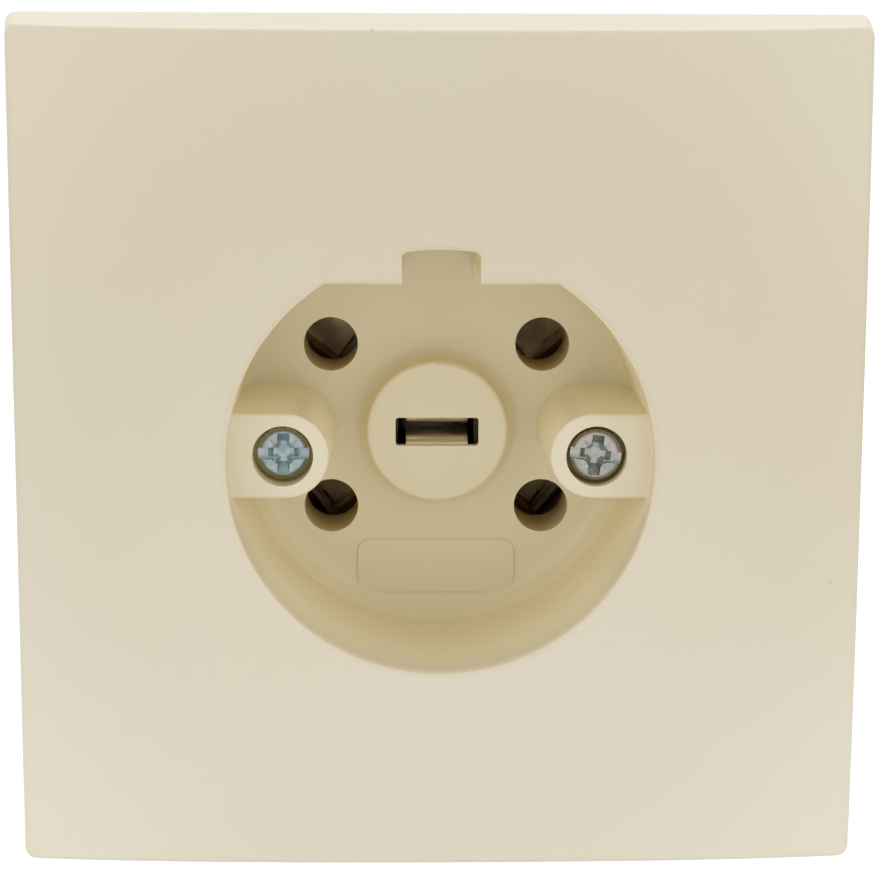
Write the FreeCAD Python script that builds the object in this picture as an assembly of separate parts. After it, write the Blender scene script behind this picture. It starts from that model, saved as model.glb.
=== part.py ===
import FreeCAD, Part
import math
import os

# Five-pole three-phase flush socket, 16 A. Millimetres, +Z up, front towards -Y.
# The plane y = 0 is the wall: the back of the support ring and the rear edge of the cover.
# The origin is the middle of the two box screws on that plane.

V = FreeCAD.Vector

# Cover plate: a pillow that is lowest at the corners and highest at the recess.
corner_height = 6.9
edge_height = 9.5
rim_height = 13.1
cover_wall = 2.2
side_draft = 8.0
corner_radius = 1.1
front_edge_radius = 0.8
pillow_sharpness = 0.45
pillow_reach = 1.15

# Plug recess: a round pot with a flat at the top and a key slot in the flat.
pin_wall_gap = 3.64
recess_taper = 0.15
flat_drop = 3.05
recess_depth = 21.8
key_width = 7.05
pot_wall = 2.0
floor_thickness = 2.2
floor_fillet = 2.5
rim_rounding = 0.5
key_rounding = 0.6

# Earth boss on the recess floor and its slot.
boss_radius = 6.85
boss_height = 3.85
boss_taper = 0.12
boss_foot = 1.1
boss_edge = 0.35
boss_wall = 2.0
boss_face_wall = 0.9
slot_width = 8.05
slot_height = 2.75
slot_corner = 0.3

# Pin holes with long collars behind the floor.
pin_x = 10.35
pin_z = 8.05
pin_hole_radius = 2.65
collar_wall = 1.2
collar_length = 8.0

# Two screw posts that grow out of the recess wall.
post_reach = 5.0
post_half = 3.92
post_end = 0.3
post_face = 4.6
post_flare = 0.35
post_edge = 0.3
head_hole_radius = 2.8
head_depth = 3.6
core_radius = 2.5
core_depth = 7.0

# Bare raised plaque under the boss.
plaque_width = 15.4
plaque_height = 5.3
plaque_gap = 5.3
plaque_rise = 0.25
plaque_corner = 1.2

# Stiffening ribs behind the plate.
rib_thickness = 1.4
rib_offset = 12.5

# Cover screws, M3, slot and cross recess together.
cover_screw_radius = 1.5
screw_head_radius = 2.4
screw_head_height = 2.1
screw_head_dome = 0.55
drive_slot_width = 1.0
drive_slot_depth = 0.7
cross_width = 1.1
cross_span = 3.8
cross_depth = 1.5
cross_heart = 1.15
nick_width = 0.2
nick_reach = 1.8
nick_depth = 0.22
screw_tip = 0.5
right_screw_turn = -7.0
right_screw_proud = 0.9
bush_radius = 2.4
bush_length = 8.5
tip_room = 2.0

# Support ring, pressed from galvanised sheet.
box_screw_spacing = 60.0
ring_margin = 5.5
ring_edge_gap = 2.3
ring_thickness = 1.5
ring_corner = 7.0
ring_rounding = 0.4
box_hole_radius = 2.1
arc_slot_angle = 9.0
corner_hole_radius = 2.0
corner_hole_inset = 8.0
rivet_outset = 0.2
rivet_angles = (45.0, 135.0, 225.0, 315.0)
rivet_radius = 1.2
rivet_head_radius = 2.1
rivet_head_height = 0.9
rivet_head_edge = 0.7
rivet_notch_length = 2.7
ear_radius = 2.9
ear_length = 8.0

# Insulating base.
base_wall = 3.25
base_length = 34.0
base_edge = 0.6
lug_flat_depth = 0.8
rear_cover_thickness = 2.6
rear_sink_radius = 11.5
rear_sink_depth = 0.5
rear_sink_edge = 0.3
rear_screw_inset = 5.4
rear_screw_radius = 1.1
rear_screw_length = 8.0
rear_head_radius = 2.0
rear_head_height = 1.4
rear_head_edge = 0.4
rear_head_sunk = 0.1
rear_slot_width = 0.6
rear_slot_depth = 0.6
rear_tip = 0.7

# Contacts and terminals.
leaf_thickness = 0.8
leaf_width = 6.0
leaf_spread = 3.4
leaf_pinch = 2.3
leaf_mouth = 3.3
leaf_pinch_at = 2.8
earth_leaf_width = 6.0
earth_spread = 2.6
earth_pinch = 0.45
earth_pinch_at = 1.7
earth_lip = 0.85
earth_lip_at = 0.6
earth_mouth = 1.65
spring_thickness = 0.45
spring_width = 4.0
spring_from_web = 1.2
terminal_inset = 1.29
terminal_depth = 6.6
terminal_width = 6.8
terminal_length = 8.6
terminal_wall = 0.9
terminal_edge = 0.5
terminal_slot = 3.8
tongue_width = 3.4
tongue_length = 8.0
terminal_screw_radius = 1.75
terminal_screw_length = 3.9
terminal_screw_bite = 1.0
terminal_screw_chamfer = 0.3
terminal_drive_width = 0.7
terminal_drive_depth = 0.9
wire_hole_radius = 1.9
funnel_flare = 0.6
funnel_depth = 1.0

# Clearances.
fit_gap = 0.15
pot_gap = 0.35
ring_gap = 0.6
pocket_gap = 0.3
rib_gap = 0.4
over_cut = 5.0

# Derived sizes from the pins outwards, and from the box screws out to the plate.
pin_circle = math.hypot(pin_x, pin_z)
pin_angle = math.degrees(math.atan2(pin_z, pin_x))
recess_radius = pin_circle + pin_hole_radius + pin_wall_gap
recess_flat = recess_radius - flat_drop
screw_x = recess_radius - post_reach
plaque_drop = recess_radius - plaque_gap
pot_radius = recess_radius + pot_wall
cavity_radius = pot_radius + pot_gap
base_radius = cavity_radius + base_wall
collar_radius = pin_hole_radius + collar_wall
rear_screw_at = base_radius - rear_screw_inset
rivet_reach = base_radius + rivet_outset
ring_side = box_screw_spacing + 2 * ring_margin
corner_hole_at = ring_side / 2 - corner_hole_inset
plate_half = ring_side / 2 + ring_edge_gap + cover_wall

# Derived stations along y, and the terminals' places around the base.
floor_y = recess_depth - rim_height
floor_back = floor_y + floor_thickness
boss_face = floor_y - boss_height
collar_end = floor_y + collar_length
post_y = post_face - rim_height
head_seat = post_y + head_depth
web_back = base_length
web_front = web_back - leaf_thickness
terminal_back = web_front
terminal_front = terminal_back - terminal_length
leaf_front = collar_end + pocket_gap
bore_floor = collar_end + fit_gap
earth_front = boss_face + boss_face_wall + fit_gap
terminal_reach = base_radius - terminal_inset - terminal_depth - pin_circle
tongue_at = terminal_reach + terminal_wall
tongue_end = tongue_at + leaf_thickness
wire_at = (tongue_end + terminal_reach + terminal_depth - 2 * terminal_wall) / 2
rear_plane = base_length + rear_cover_thickness
front_reach = rim_height + over_cut
crown_half = plate_half - edge_height * math.tan(math.radians(side_draft))

POLES = {
    "l1": 180.0 - pin_angle,
    "l2": pin_angle,
    "l3": 180.0 + pin_angle,
    "n": 360.0 - pin_angle,
}


def box(x0, x1, y0, y1, z0, z1):
    return Part.makeBox(x1 - x0, y1 - y0, z1 - z0, V(x0, y0, z0))


def rod(radius, y0, y1, x=0.0, z=0.0):
    return Part.makeCylinder(radius, y1 - y0, V(x, y0, z), V(0, 1, 0))


def cone(r0, r1, y0, y1, x=0.0, z=0.0):
    return Part.makeCone(r0, r1, y1 - y0, V(x, y0, z), V(0, 1, 0))


def ring(outer, inner, y0, y1, x=0.0, z=0.0):
    return rod(outer, y0, y1, x, z).cut(rod(inner, y0 - 1, y1 + 1, x, z))


def turned(points, x=0.0, z=0.0):
    """Revolve a closed (radius, y) outline about the line through x, z along y."""
    wire = Part.makePolygon([V(r, y, 0) for r, y in points + points[:1]])
    solid = Part.Face(wire).revolve(V(0, 0, 0), V(0, 1, 0), 360)
    solid.translate(V(x, 0, z))
    return solid


def rounded_bar(width, height, y0, y1, radius, x=0.0, z=0.0):
    """A bar along y with rounded long edges, centred on x, z."""
    bar = box(x - width / 2, x + width / 2, y0, y1, z - height / 2, z + height / 2)
    edges = [e for e in bar.Edges if abs(e.tangentAt(0).y) > 0.99]
    return bar.makeFillet(radius, edges)


def joined(shapes):
    """One solid from overlapping ones."""
    return shapes[0].multiFuse(shapes[1:]).removeSplitter()


def level(u):
    """How far the pillow has fallen at the share u of the way to the edge."""
    return (1 - pillow_sharpness) * u ** 2 + pillow_sharpness * u ** 4


def pillow(offset):
    """Everything behind the pillow surface, moved inwards by offset."""
    reach = pillow_reach
    fall = (rim_height - edge_height) / (1 - level(recess_radius / crown_half))
    crown = edge_height + fall
    corner_lift = corner_height - crown + 2 * fall
    square = [1, 0, -1 / 3, 0, 1]
    fourth = [1, -1, 1, -1, 1]
    low = [
        (1 - pillow_sharpness) * reach ** 2 * s + pillow_sharpness * reach ** 4 * f
        for s, f in zip(square, fourth)
    ]
    surface = Part.BezierSurface()
    surface.increase(4, 4)
    for i in range(5):
        for k in range(5):
            height = crown - fall * (low[i] + low[k]) + corner_lift * low[i] * low[k]
            x = crown_half * reach * (i / 2 - 1)
            z = crown_half * reach * (k / 2 - 1)
            surface.setPole(i + 1, k + 1, V(x, offset - height, z))
    return surface.toShape().extrude(V(0, front_reach + over_cut, 0))


def drafted_block(inset):
    """The plate's square outline with leaning sides, from the wall to past its front."""
    lean = front_reach * math.tan(math.radians(side_draft))
    back = plate_half - inset
    front = back - lean
    return Part.makeWedge(
        -front, -front_reach, -front, -back, -back, front, 0, front, back, back
    )


def upright_edges(shape):
    """The four leaning edges of a drafted block."""
    return [
        e
        for e in shape.Edges
        if abs(e.Vertexes[0].Point.y - e.Vertexes[-1].Point.y) > rim_height / 2
    ]


def plate_shell():
    """The pillowed plate as a hollow shell, open at the wall."""
    block = drafted_block(0.0)
    block = block.makeFillet(corner_radius, upright_edges(block))
    outer = block.common(pillow(0.0))
    rim = [
        e
        for e in outer.Edges
        if e.BoundBox.YMax < -corner_height / 2
        and max(abs(e.BoundBox.XMax), abs(e.BoundBox.XMin)) > plate_half / 2
        and e.BoundBox.YMax < -corner_height + 1.5
        and e.Length > corner_radius / 2
        and not spans_depth(e)
    ]
    outer = outer.makeFillet(front_edge_radius, rim)
    hollow = drafted_block(cover_wall).common(pillow(cover_wall))
    return outer.cut(hollow)


def spans_depth(edge):
    """Does this edge run back to the wall?"""
    return edge.BoundBox.YMax > -0.1


def recess_tool():
    """The space of the plug recess: cone, flat, rounded floor edge and key slot."""
    slope = recess_taper / recess_depth
    front_y = -front_reach
    wide = recess_radius + slope * over_cut
    narrow = recess_radius - recess_taper
    pot = cone(wide, narrow, front_y, floor_y)
    room = 2 * recess_radius
    pot = pot.common(box(-room, room, front_y - 1, floor_y + 1, -room, recess_flat))
    corners = [e for e in pot.Edges if runs_along_y(e) and e.CenterOfMass.z > recess_flat / 2]
    pot = pot.makeFillet(key_rounding, corners)
    foot = [e for e in pot.Edges if e.BoundBox.YMin > floor_y - 0.01]
    pot = pot.makeFillet(floor_fillet, foot)
    key = box(-key_width / 2, key_width / 2, front_y, floor_y, recess_flat - 3, room)
    key = key.common(rod(recess_radius, front_y, floor_y))
    crown_edges = [
        e for e in key.Edges if runs_along_y(e) and e.CenterOfMass.z > recess_flat
    ]
    key = key.makeFillet(key_rounding, crown_edges)
    return joined([pot, key])


def runs_along_y(edge):
    """Is this a long edge that goes from the front to the floor?"""
    return edge.BoundBox.YLength > recess_depth / 2


def screw_post(side):
    """A D-shaped post with a slight flare towards the floor, at side = -1 or 1."""
    end_x = screw_x - post_end
    top = post_y
    low = floor_y + floor_thickness / 2
    wide = post_half + post_flare
    nose = cone(post_half, wide, top, low, side * end_x)
    far = pot_radius - pot_wall / 2
    xs = [side * end_x, side * (far + 1)]
    arm = Part.makeWedge(
        min(xs), top, -post_half, -wide, min(xs), max(xs), low, post_half, wide, max(xs)
    )
    post = joined([nose, arm]).common(rod(far, top - 1, low + 1))
    top_edges = [
        e
        for e in post.Edges
        if e.BoundBox.YMax < top + 0.01 and abs(e.CenterOfMass.x) < far - 0.5
    ]
    return post.makeFillet(post_edge, top_edges)


def screw_channel(side):
    """Head pocket, shank hole and the core pocket from behind."""
    x = side * screw_x
    return joined(
        [
            rod(head_hole_radius, post_y - over_cut, head_seat, x),
            rod(cover_screw_radius + fit_gap, head_seat - 1, floor_back + 1, x),
            rod(core_radius, floor_back - core_depth, floor_back + 1, x),
        ]
    )


def earth_boss():
    """The round boss with a rounded front edge and a hollow foot fillet."""
    foot_r = boss_radius + boss_taper + boss_foot
    low = floor_y + floor_thickness / 2
    a = V(foot_r, floor_y, 0)
    b = V(boss_radius + boss_taper, floor_y - boss_foot, 0)
    mid = V(
        foot_r - boss_foot * math.sin(math.pi / 4),
        floor_y - boss_foot * (1 - math.cos(math.pi / 4)),
        0,
    )
    c = V(boss_radius, boss_face + boss_edge, 0)
    d = V(boss_radius - boss_edge, boss_face, 0)
    top = V(
        boss_radius - boss_edge * (1 - math.cos(math.pi / 4)),
        boss_face + boss_edge * (1 - math.sin(math.pi / 4)),
        0,
    )
    edges = [
        Part.makeLine(V(0, low, 0), V(foot_r, low, 0)),
        Part.makeLine(V(foot_r, low, 0), a),
        Part.Arc(a, mid, b).toShape(),
        Part.makeLine(b, c),
        Part.Arc(c, top, d).toShape(),
        Part.makeLine(d, V(0, boss_face, 0)),
        Part.makeLine(V(0, boss_face, 0), V(0, low, 0)),
    ]
    face = Part.Face(Part.Wire(edges))
    return face.revolve(V(0, 0, 0), V(0, 1, 0), 360)


def pin_places():
    return [(sx * pin_x, sz * pin_z) for sx in (-1, 1) for sz in (-1, 1)]


def ribs():
    """Eight ribs from the pot to the plate's sides, clear of the ring behind."""
    back = -ring_thickness - rib_gap
    out = []
    far = plate_half - cover_wall / 2
    for at in (-rib_offset, rib_offset):
        a = at - rib_thickness / 2
        b = at + rib_thickness / 2
        near = math.sqrt(pot_radius ** 2 - rib_offset ** 2) - pot_wall
        for s in (-1, 1):
            low, high = sorted((s * near, s * far))
            out.append(box(a, b, -rim_height, back, low, high))
            out.append(box(low, high, -rim_height, back, a, b))
    inside = drafted_block(cover_wall / 2).common(pillow(cover_wall / 2))
    return [r.common(inside) for r in out]


def cover_plate():
    """One moulding: plate, recess pot, boss, screw posts, collars, plaque and ribs."""
    shell = plate_shell()
    pot = rod(pot_radius, -rim_height + cover_wall / 2, floor_back)
    block = joined([shell, pot] + ribs())
    tool = recess_tool()
    body = block.cut(tool)
    mouth = [
        e
        for e in body.Edges
        if e.BoundBox.YMax < -edge_height
        and math.hypot(e.CenterOfMass.x, e.CenterOfMass.z) < recess_radius + 1
        and e.BoundBox.YLength < 1.5
        and math.hypot(e.Vertexes[0].Point.x, e.Vertexes[0].Point.z) < recess_radius + 0.5
    ]
    body = body.makeFillet(rim_rounding, mouth)
    plaque = rounded_bar(
        plaque_width,
        plaque_height,
        floor_y - plaque_rise,
        floor_y + plaque_rise,
        plaque_corner,
        0.0,
        -plaque_drop,
    )
    collars = [rod(collar_radius, floor_back - 1, collar_end, x, z) for x, z in pin_places()]
    posts = [screw_post(-1), screw_post(1)]
    body = joined([body, earth_boss(), plaque] + posts + collars)
    cuts = [rod(pin_hole_radius, boss_face, collar_end + 1, x, z) for x, z in pin_places()]
    cuts += [screw_channel(-1), screw_channel(1)]
    cuts.append(rod(boss_radius - boss_wall, boss_face + boss_face_wall, floor_back + 1))
    cuts.append(rounded_bar(slot_width, slot_height, boss_face - 1, boss_face + boss_wall, slot_corner))
    return body.cut(cuts[0].multiFuse(cuts[1:]))


def cover_screw(side, turn, proud):
    """Machine screw with a low domed head, a slot, a cross recess and its four nicks."""
    seat = head_seat - proud
    top = seat - screw_head_height
    tip = floor_back + bush_length - proud - screw_tip
    profile = [
        V(0, top, 0),
        V(screw_head_radius - screw_head_dome, top, 0),
        V(screw_head_radius, top + screw_head_dome, 0),
        V(screw_head_radius, seat, 0),
        V(cover_screw_radius, seat, 0),
        V(cover_screw_radius, tip - screw_tip, 0),
        V(cover_screw_radius - screw_tip, tip, 0),
        V(0, tip, 0),
    ]
    bend = screw_head_dome * (1 - math.sin(math.pi / 4))
    knee = V(screw_head_radius - bend, top + bend, 0)
    edges = [Part.makeLine(profile[0], profile[1])]
    edges.append(Part.Arc(profile[1], knee, profile[2]).toShape())
    edges += [Part.makeLine(a, b) for a, b in zip(profile[2:], profile[3:] + profile[:1])]
    screw = Part.Face(Part.Wire(edges)).revolve(V(0, 0, 0), V(0, 1, 0), 360)
    screw = screw.cut(screw_drive(top))
    screw.rotate(V(0, 0, 0), V(0, 1, 0), -turn)
    screw.translate(V(side * screw_x, 0, 0))
    return screw


def screw_drive(top):
    """The cuts of a combined slot and cross drive, from the head's face at top."""
    room = screw_head_radius + 1
    half = drive_slot_width / 2
    slot = box(-room, room, top - 1, top + drive_slot_depth, -half, half)
    arm = cross_span / 2
    wing = cross_width / 2
    low = top + cross_depth
    tools = [slot]
    for x, z, angle in ((arm, wing, 0), (arm, wing, 90), (cross_heart, cross_heart, 45)):
        taper = Part.makeWedge(-x, top, -z, -z / 2, -x / 2, x, low, z, z / 2, x / 2)
        taper.rotate(V(0, 0, 0), V(0, 1, 0), angle)
        tools.append(taper)
    outline = [
        V(0, top, 0),
        V(nick_reach, top, 0),
        V(nick_reach / 2, top + nick_depth, 0),
        V(0, top + nick_depth, 0),
    ]
    for angle in (45, 135, 225, 315):
        nick = Part.Face(Part.makePolygon(outline + outline[:1])).extrude(V(0, 0, nick_width))
        nick.translate(V(0, 0, -nick_width / 2))
        nick.rotate(V(0, 0, 0), V(0, 1, 0), angle)
        tools.append(nick)
    return joined(tools)


def thread_bush(side):
    """Brass bush in the base that the cover screw goes into."""
    x = side * screw_x
    return ring(bush_radius, cover_screw_radius, floor_back, floor_back + bush_length, x)


def support_ring():
    """Square mounting ring: round opening, two box holes, two arc slots, corner holes."""
    plate = rounded_bar(ring_side, ring_side, -ring_thickness, 0, ring_corner)
    lip = [e for e in plate.Edges if e.BoundBox.YMax < -ring_thickness + 0.01]
    plate = plate.makeFillet(ring_rounding, lip)
    y0 = -ring_thickness - over_cut
    y1 = over_cut
    at = box_screw_spacing / 2
    cuts = [rod(pot_radius + ring_gap, y0, y1)]
    cuts += [rod(box_hole_radius, y0, y1, s * at) for s in (-1, 1)]
    cuts += [polar(rod(rivet_radius, y0, y1), a, rivet_reach) for a in rivet_angles]
    for s in (-1, 1):
        cuts.append(arc_slot(at, box_hole_radius, 90 * s, y0, y1))
        for t in (-1, 1):
            cuts.append(
                rod(corner_hole_radius, y0, y1, s * corner_hole_at, t * corner_hole_at)
            )
    return plate.cut(cuts[0].multiFuse(cuts[1:]))


def arc_slot(at, half_width, middle, y0, y1):
    """A slot that follows a circle round the y axis, with round ends."""
    band = ring(at + half_width, at - half_width, y0, y1)
    wide = 4 * at
    ends = []
    points = [V(0, y0, 0)]
    for angle in (middle - arc_slot_angle, middle + arc_slot_angle):
        a = math.radians(angle)
        points.append(V(wide * math.cos(a), y0, wide * math.sin(a)))
        ends.append(rod(half_width, y0, y1, at * math.cos(a), at * math.sin(a)))
    sector = Part.Face(Part.makePolygon(points + points[:1])).extrude(V(0, y1 - y0, 0))
    return joined([band.common(sector)] + ends)


def ring_rivets():
    """Four rivets that hold the ring to the base's ears."""
    y0 = -ring_thickness - rivet_head_height
    edge = rivet_head_edge
    y1 = ear_length + rivet_head_height
    outline = [
        (0, y0),
        (rivet_head_radius - edge, y0),
        (rivet_head_radius, y0 + edge),
        (rivet_head_radius, -ring_thickness),
        (rivet_radius, -ring_thickness),
        (rivet_radius, ear_length),
        (rivet_head_radius, ear_length),
        (rivet_head_radius - edge, y1),
        (0, y1),
    ]
    return Part.makeCompound([polar(turned(outline), a, rivet_reach) for a in rivet_angles])


def polar(shape, angle, reach):
    """Move a shape built at the origin, whose +x points outwards, to a place on the base."""
    a = math.radians(angle)
    shape.rotate(V(0, 0, 0), V(0, 1, 0), -angle)
    shape.translate(V(reach * math.cos(a), 0, reach * math.sin(a)))
    return shape


def terminal_pocket():
    """Room for one terminal block, its screw and its tongue, open at the base's rear."""
    gap = fit_gap
    inner = terminal_reach - gap
    outer = terminal_reach + terminal_depth + gap
    half = terminal_width / 2 + gap
    room = box(inner, outer, terminal_front - gap, base_length + 1, -half, half)
    screw_y = (terminal_front + terminal_back) / 2
    access = Part.makeCylinder(
        terminal_screw_radius + 2 * gap, 2 * over_cut, V(outer - 1, screw_y, 0), V(1, 0, 0)
    )
    return [room, access]


def contact_pocket(width, spread, front, hollow):
    """Room for a twin-leaf contact, and the way from it to its terminal."""
    x = width / 2 + spring_thickness + pocket_gap
    z = spread + leaf_thickness + spring_thickness + pocket_gap
    room = box(-x, x, front, base_length + 1, -z, z)
    way_half = tongue_width / 2 + pocket_gap
    way = box(0, hollow, terminal_front, base_length + 1, -way_half, way_half)
    return room, way


def socket_base():
    """Moulded base: front well for the cover's pot, contact pockets and ring ears."""
    drum = rod(base_radius, 0, base_length)
    drum = drum.makeFillet(base_edge, [e for e in drum.Edges if e.BoundBox.YMin > base_length / 2])
    drum = drum.cut(lug_flats())
    ears = [polar(rod(ear_radius, 0, ear_length), a, rivet_reach) for a in rivet_angles]
    body = joined([drum] + ears)
    cuts = [rod(cavity_radius, -1, floor_back)]
    room = rivet_head_radius + pocket_gap
    notch_end = ear_length + rivet_notch_length
    for a in rivet_angles:
        cuts.append(polar(rod(rivet_radius, -1, ear_length + 1), a, rivet_reach))
        notch = box(-room, base_radius, ear_length, notch_end, -room, room)
        cuts.append(polar(notch, a, rivet_reach))
    for s in (-1, 1):
        cuts.append(rod(bush_radius, floor_back - 1, floor_back + bush_length, s * screw_x))
        tip = floor_back + bush_length + tip_room
        cuts.append(rod(cover_screw_radius + fit_gap, floor_back, tip, s * screw_x))
    for x, z in pin_places():
        cuts.append(rod(collar_radius + fit_gap, floor_back - 1, bore_floor, x, z))
    for angle in POLES.values():
        tools = list(contact_pocket(leaf_width, leaf_spread, bore_floor - 0.01, terminal_reach))
        cuts += [polar(t, angle, pin_circle) for t in tools + terminal_pocket()]
    room, way = contact_pocket(
        earth_leaf_width, earth_spread, floor_back - 1, pin_circle + terminal_reach
    )
    cuts += [room, polar(way, 270.0, 0.0)]
    cuts += [polar(t, 270.0, pin_circle) for t in terminal_pocket()]
    for x, z in rear_screw_places():
        cuts.append(
            rod(rear_screw_radius, base_length - rear_screw_length, base_length + 1, x, z)
        )
    return body.cut(cuts[0].multiFuse(cuts[1:]))


def lug_flats():
    """What the box's two screw lugs need: a flat on each side of the drum."""
    at = base_radius - lug_flat_depth
    far = base_radius + over_cut
    sides = [sorted((s * at, s * far)) for s in (-1, 1)]
    cuts = [box(low, high, -1, rear_plane + 1, -far, far) for low, high in sides]
    return cuts[0].fuse(cuts[1])


def rear_screw_places():
    return [(-rear_screw_at, 0.0), (rear_screw_at, 0.0), (0.0, rear_screw_at)]


def rear_cover():
    """Disc that closes the base's pockets, with a funnelled hole for each wire."""
    disc = rod(base_radius, base_length, rear_plane)
    rim = [e for e in disc.Edges if e.BoundBox.YMin > base_length + rear_cover_thickness / 2]
    disc = disc.makeFillet(base_edge, rim)
    cuts = [lug_flats(), rear_sink()]
    for x, z in rear_screw_places():
        cuts.append(rod(rear_screw_radius + fit_gap, base_length - 1, rear_plane + 1, x, z))
        cuts.append(
            rod(rear_head_radius + fit_gap, rear_plane - rear_head_height, rear_plane + 1, x, z)
        )
    for angle in list(POLES.values()) + [270.0]:
        hole = rod(wire_hole_radius, base_length - 1, rear_plane + 1, wire_at)
        wide = wire_hole_radius + funnel_flare
        funnel = cone(wire_hole_radius, wide, rear_plane - funnel_depth, rear_plane, wire_at)
        cuts += [polar(hole, angle, pin_circle), polar(funnel, angle, pin_circle)]
    return disc.cut(cuts[0].multiFuse(cuts[1:]))


def rear_sink():
    """The shallow round sink in the middle of the rear cover."""
    sink = rod(rear_sink_radius, rear_plane - rear_sink_depth, rear_plane + 1)
    foot = [e for e in sink.Edges if e.BoundBox.YMax < rear_plane]
    return sink.makeFillet(rear_sink_edge, foot)


def rear_cover_screws():
    """Three thread-forming screws, their slotted heads sunk in the rear cover."""
    seat = rear_plane - rear_head_height
    tip = base_length - rear_screw_length + 1
    face = rear_plane - rear_head_sunk
    outline = [
        (0, tip),
        (rear_screw_radius - rear_tip, tip),
        (rear_screw_radius, tip + rear_tip),
        (rear_screw_radius, seat),
        (rear_head_radius, seat),
        (rear_head_radius, face - rear_head_edge),
        (rear_head_radius - rear_head_edge, face),
        (0, face),
    ]
    reach = rear_head_radius + 1
    half = rear_slot_width / 2
    slot = box(-reach, reach, face - rear_slot_depth, face + 1, -half, half)
    screw = turned(outline).cut(slot)
    return Part.makeCompound([screw.translated(V(x, 0, z)) for x, z in rear_screw_places()])


def leaf(side, width, spread, front, lead_in):
    """One sprung leaf: straight at the back, then through its lead-in's (gap, depth) stations."""
    straight = web_front - 2 * spring_from_web - spring_width
    pinch, depth = lead_in[0]
    bend = straight - front - depth
    stations = [
        (spread, straight),
        (spread - 0.3 * (spread - pinch), straight - 0.3 * bend),
        (spread - 0.75 * (spread - pinch), straight - 0.65 * bend),
    ]
    stations += [(gap, front + depth) for gap, depth in lead_in]
    inner = Part.BSplineCurve()
    inner.interpolate([V(0, y, side * z) for z, y in stations])
    outer = Part.BSplineCurve()
    outer.interpolate([V(0, y, side * (z + leaf_thickness)) for z, y in stations])
    a = V(0, web_back, side * spread)
    b = V(0, web_back, side * (spread + leaf_thickness))
    edges = [
        Part.makeLine(a, inner.StartPoint),
        inner.toShape(),
        Part.makeLine(inner.EndPoint, outer.EndPoint),
        outer.toShape(),
        Part.makeLine(outer.StartPoint, b),
        Part.makeLine(b, a),
    ]
    face = Part.Face(Part.Wire(Part.__sortEdges__(edges)))
    solid = face.extrude(V(width, 0, 0))
    solid.translate(V(-width / 2, 0, 0))
    return solid


def fork(width, spread, front, lead_in):
    """Two sprung leaves and the web that joins them at the back."""
    reach = spread + leaf_thickness
    web = box(-width / 2, width / 2, web_front, web_back, -reach, reach)
    return [leaf(s, width, spread, front, lead_in) for s in (-1, 1)] + [web]


def tail(start, way):
    """The strap from the web and the tongue that goes into the terminal."""
    half = tongue_width / 2
    end = way + tongue_end
    strap = box(start, end, web_front, web_back, -half, half)
    tongue = box(way + tongue_at, end, web_back - tongue_length, web_back, -half, half)
    return [strap, tongue]


def pin_contact(angle):
    """Twin-leaf contact for one round pin, its leaves in line with the base's radius."""
    lead_in = [(leaf_pinch, leaf_pinch_at), (leaf_mouth, 0.0)]
    made = fork(leaf_width, leaf_spread, leaf_front, lead_in)
    return polar(joined(made + tail(0.0, 0.0)), angle, pin_circle)


def earth_contact():
    """Wide fork behind the slot, above and below the earth blade."""
    lead_in = [(earth_pinch, earth_pinch_at), (earth_lip, earth_lip_at), (earth_mouth, 0.0)]
    made = fork(earth_leaf_width, earth_spread, earth_front, lead_in)
    strap = [polar(t, 270.0, 0.0) for t in tail(0.0, pin_circle)]
    return joined(made + strap)


def spring_band(width, spread, angle, reach):
    """Steel band round the straight back part of both leaves."""
    y1 = web_front - spring_from_web
    y0 = y1 - spring_width
    z = spread + leaf_thickness
    x = width / 2
    t = spring_thickness
    outer = rounded_bar(2 * (x + t), 2 * (z + t), y0, y1, 2 * t)
    inner = box(-x, x, y0 - 1, y1 + 1, -z, z)
    return polar(outer.cut(inner), angle, reach)


def terminal_block(angle):
    """Brass frame clamp with a through window for the wire and a tapped outer wall."""
    inner = terminal_reach
    outer = terminal_reach + terminal_depth
    half = terminal_width / 2
    block = box(inner, outer, terminal_front, terminal_back, -half, half)
    long_edges = [e for e in block.Edges if e.BoundBox.YLength > terminal_length / 2]
    block = block.makeFillet(terminal_edge, long_edges)
    far = outer - 2 * terminal_wall
    window = box(
        tongue_at, far, terminal_front - 1, terminal_back + 1, -terminal_slot / 2, terminal_slot / 2
    )
    screw_y = (terminal_front + terminal_back) / 2
    tapped = Part.makeCylinder(terminal_screw_radius, over_cut, V(far - 1, screw_y, 0), V(1, 0, 0))
    return polar(block.cut(window).cut(tapped), angle, pin_circle)


def terminal_screw(angle):
    """Slotted grub screw that stands in the terminal's outer wall."""
    outer = terminal_reach + terminal_depth
    start = outer - 2 * terminal_wall - terminal_screw_bite
    end = start + terminal_screw_length
    screw_y = (terminal_front + terminal_back) / 2
    stud = Part.makeCylinder(
        terminal_screw_radius, terminal_screw_length, V(start, screw_y, 0), V(1, 0, 0)
    )
    ends = [e for e in stud.Edges if e.BoundBox.XLength < 0.01]
    stud = stud.makeChamfer(terminal_screw_chamfer, ends)
    half = terminal_drive_width / 2
    room = terminal_screw_radius + 1
    slot = box(end - terminal_drive_depth, end + 1, screw_y - half, screw_y + half, -room, room)
    return polar(stud.cut(slot), angle, pin_circle)


def save(shape, name):
    shape.exportStep(os.path.join("parts", name + ".step"))


os.makedirs("parts", exist_ok=True)

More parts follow.
